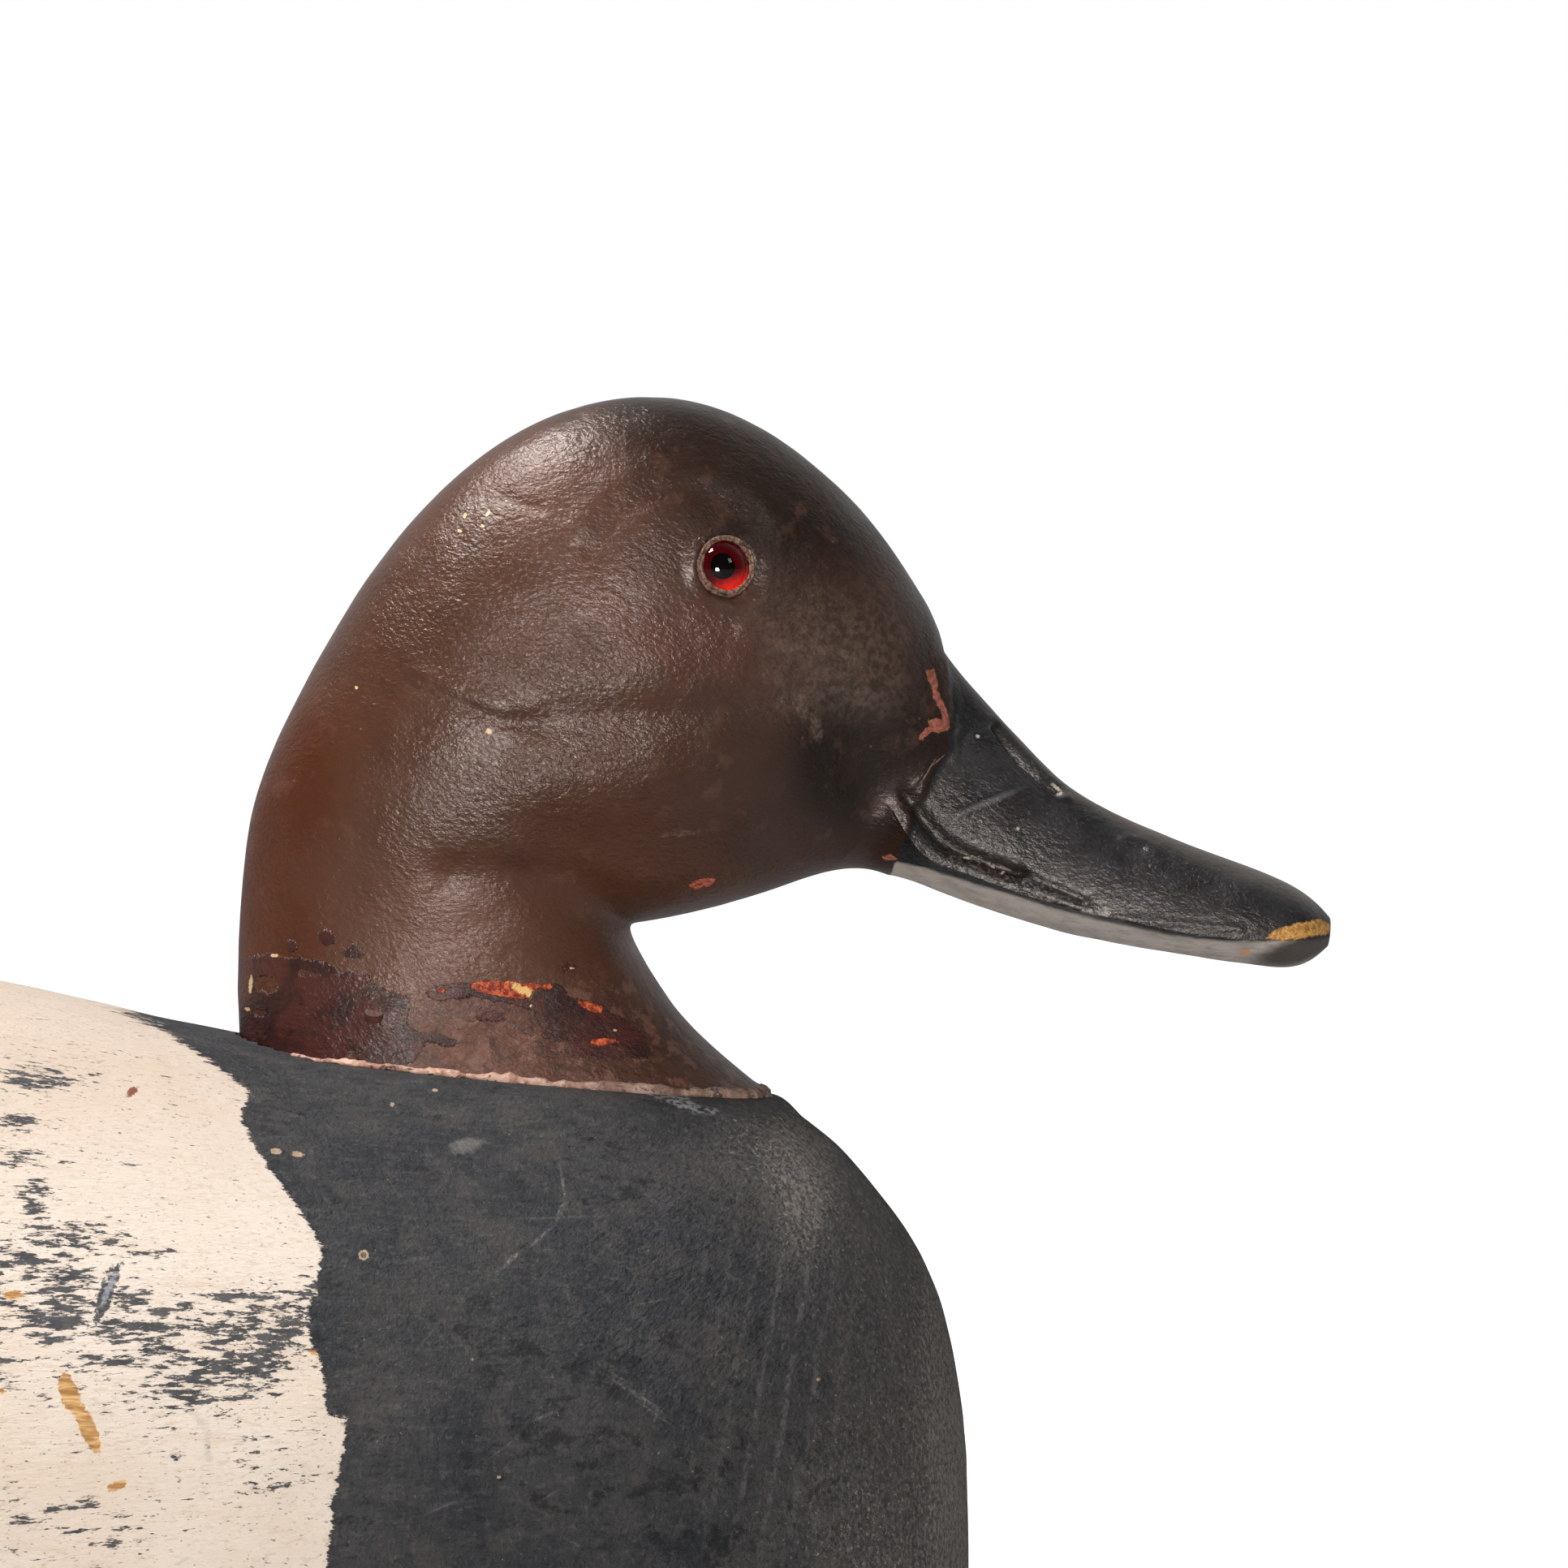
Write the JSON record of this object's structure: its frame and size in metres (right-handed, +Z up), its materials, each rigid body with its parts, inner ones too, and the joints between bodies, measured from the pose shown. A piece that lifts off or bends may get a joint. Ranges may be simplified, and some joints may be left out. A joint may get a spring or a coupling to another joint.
{
  "type": "floating duck decoy",
  "caption": "Hollow carved and painted wooden drake decoy on a nailed bottom board, with glass eyes, a ballasted keel, and a ring and staple line tie.",
  "frame": {"origin": "on the surface that the keel stands on, midway between the tail tip and the bill tip, on the decoy's mid-plane", "axes": "+X forward to the bill, +Y to the decoy's left, +Z up"},
  "size_m": [0.4399, 0.1822, 0.2462],
  "materials": {
    "paint_black": "matte oil paint over wood, worn",
    "paint_white": "matte oil paint over wood, worn",
    "paint_brown": "satin oil paint over wood",
    "bare_wood": "oiled and weathered",
    "putty": "hardened putty, matte",
    "eye_putty": "hardened putty, matte",
    "caulk": "hardened white-lead bedding under paint",
    "clear_glass": "polished, colourless",
    "iris_enamel": "fired enamel, glossy",
    "pupil_enamel": "fired enamel, glossy",
    "iron_wire": "dull drawn wire",
    "iron_nail": "dull, lightly rusted",
    "brass": "dull, tarnished",
    "steel_screw": "dull zinc",
    "lead": "dull grey, oxidised"
  },
  "bodies": {
    "decoy": {"body_shell": "paint_white", "seam_caulk": "caulk", "bottom_board": "paint_black", "board_nails": "iron_nail", "head": "paint_brown", "neck_putty": "putty", "neck_screw": "steel_screw", "neck_washer": "steel_screw", "neck_nails": "iron_nail", "keel": "paint_black", "keel_screws": "brass", "ballast_weight": "lead", "ballast_nails": "iron_nail", "line_tie_staple": "iron_wire", "eye_glass_left": "clear_glass", "eye_iris_left": "iris_enamel", "eye_pupil_left": "pupil_enamel", "eye_wire_left": "iron_wire", "eye_putty_left": "eye_putty", "eye_glass_right": "clear_glass", "eye_iris_right": "iris_enamel", "eye_pupil_right": "pupil_enamel", "eye_wire_right": "iron_wire", "eye_putty_right": "eye_putty"},
    "line_ring": {"line_tie_ring": "iron_wire"}
  },
  "joints": [
    {"name": "ring_swing", "type": "hinge", "parent": "decoy", "child": "line_ring", "pos_m": [0.167, 0, 0.0528], "axis": [0, -1, 0], "range_deg": [-35, 180]}
  ]
}
